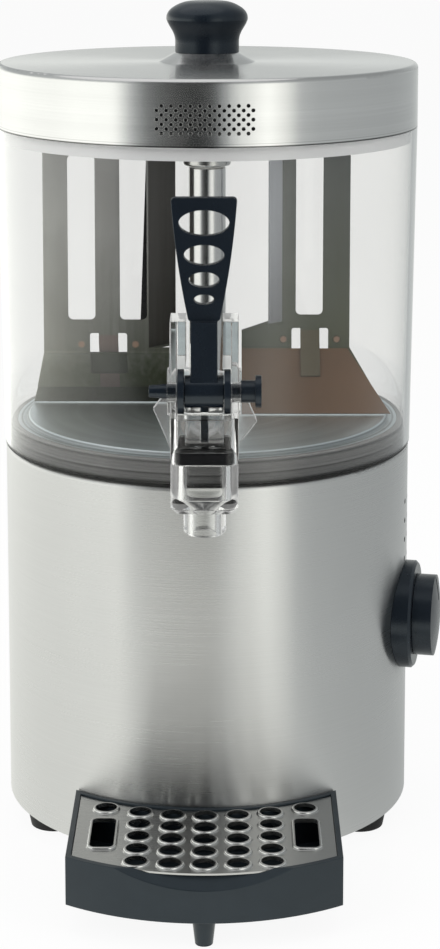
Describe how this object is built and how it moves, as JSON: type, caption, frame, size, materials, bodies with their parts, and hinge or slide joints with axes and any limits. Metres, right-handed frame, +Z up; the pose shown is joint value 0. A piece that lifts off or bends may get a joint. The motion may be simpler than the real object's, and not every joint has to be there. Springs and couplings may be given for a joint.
{
  "type": "hot chocolate dispenser",
  "caption": "Countertop hot chocolate dispenser: clear drafted tank with rotating stirrer on a heated brushed steel body, lever tap, lift-off lid and drip tray with grid.",
  "frame": {"origin": "on the axis of the round body, at the table under the feet", "axes": "+Z up, -Y towards the front where the tap and drip tray are, +X towards the control knob"},
  "size_m": [0.2639, 0.3355, 0.486],
  "materials": {
    "body_steel": "circumferentially brushed stainless steel",
    "floor_steel": "satin stainless steel",
    "sheet_steel": "plain sheet steel",
    "fastener_steel": "bright zinc-plated steel",
    "shaft_steel": "ground stainless steel",
    "stirrer_steel": "satin stainless sheet",
    "lid_steel": "polished stainless sheet",
    "grid_steel": "bright stainless sheet",
    "heater_aluminium": "as cast",
    "gearbox_casting": "die cast",
    "motor_case": "black paint",
    "foot_rubber": "matt black",
    "seal_rubber": "satin grey silicone",
    "gasket_rubber": "translucent silicone",
    "valve_rubber": "black, wet",
    "bush_plastic": "natural white",
    "black_plastic": "satin black moulding",
    "tray_plastic": "satin grey-black moulding",
    "ring_plastic": "satin grey moulding",
    "tank_clear": "clear polycarbonate",
    "tap_clear": "clear polycarbonate",
    "piston_plastic": "translucent white",
    "terminal_plastic": "cream moulding",
    "thermostat_case": "dark moulding"
  },
  "bodies": {
    "base": {"body_shell": "body_steel", "base_plate": "sheet_steel", "foot_front_left": "foot_rubber", "foot_front_right": "foot_rubber", "foot_rear_left": "foot_rubber", "foot_rear_right": "foot_rubber", "foot_screws": "fastener_steel", "tank_floor": "floor_steel", "tank_seal": "seal_rubber", "central_tube": "floor_steel", "top_bush": "bush_plastic", "lower_bush": "bush_plastic", "heater_plate": "heater_aluminium", "heater_nuts": "fastener_steel", "heating_element": "fastener_steel", "limit_thermostat": "fastener_steel", "motor_bridge": "sheet_steel", "gearbox": "gearbox_casting", "motor": "motor_case", "motor_screws": "fastener_steel", "thermostat": "thermostat_case", "knob_bezel": "black_plastic", "thermostat_nut": "fastener_steel", "cable_gland": "black_plastic", "gland_nut": "black_plastic", "terminal_block": "terminal_plastic", "tray_pegs": "fastener_steel"},
    "tank": {"tank": "tank_clear", "tap_body": "tap_clear", "tap_gasket": "gasket_rubber", "inner_gasket": "gasket_rubber", "tap_nut": "tap_clear", "guide_ring": "piston_plastic", "pivot_pin": "black_plastic", "pivot_washers": "black_plastic"},
    "lid": {"lid": "lid_steel", "lid_ring": "ring_plastic", "lid_knob": "black_plastic", "lid_screw": "fastener_steel"},
    "lever": {"tap_lever": "black_plastic"},
    "piston": {"tap_piston": "piston_plastic", "piston_seal": "valve_rubber", "piston_stem": "black_plastic"},
    "stirrer": {"drive_shaft": "shaft_steel", "output_shaft": "shaft_steel", "shaft_coupler": "shaft_steel", "stirrer_hub": "shaft_steel", "hub_nut": "fastener_steel", "stirrer_arm": "stirrer_steel", "left_wing": "stirrer_steel", "right_wing": "stirrer_steel", "left_scraper": "stirrer_steel", "right_scraper": "stirrer_steel", "stirrer_rivets": "fastener_steel"},
    "control_knob": {"control_knob": "black_plastic", "knob_spindle": "shaft_steel"},
    "drip_tray": {"drip_tray": "tray_plastic"},
    "drip_grid": {"drip_grid": "grid_steel"}
  },
  "joints": [
    {"name": "tank_lift", "type": "slide", "parent": "base", "child": "tank", "axis": [0, 0, 1], "range_m": [0, 0.2]},
    {"name": "lid_lift", "type": "slide", "parent": "tank", "child": "lid", "axis": [0, 0, 1], "range_m": [0, 0.08]},
    {"name": "lever_pull", "type": "hinge", "parent": "tank", "child": "lever", "pos_m": [0, -0.17006, 0.2908], "axis": [1, 0, 0], "range_deg": [0, 35], "stiffness_Nm_per_rad": 0.8, "springref_deg": -17.19},
    {"name": "piston_lift", "type": "slide", "parent": "tank", "child": "piston", "axis": [0, 0, 1], "range_m": [0, 0.0125]},
    {"name": "stirrer_spin", "type": "hinge", "parent": "base", "child": "stirrer", "pos_m": [0, 0, 0.39], "axis": [0, 0, 1], "continuous": true},
    {"name": "knob_turn", "type": "hinge", "parent": "base", "child": "control_knob", "pos_m": [0.11759, -0.02392, 0.123], "axis": [0.9799, -0.1994, 0], "range_deg": [-270, 0]},
    {"name": "tray_slide", "type": "slide", "parent": "base", "child": "drip_tray", "axis": [0, -1, 0], "range_m": [0, 0.12]},
    {"name": "grid_lift", "type": "slide", "parent": "drip_tray", "child": "drip_grid", "axis": [0, 0, 1], "range_m": [0, 0.05]}
  ],
  "couplings": [
    {"joint": "piston_lift", "follows": "lever_pull", "m_per_rad": 0.020183}
  ]
}
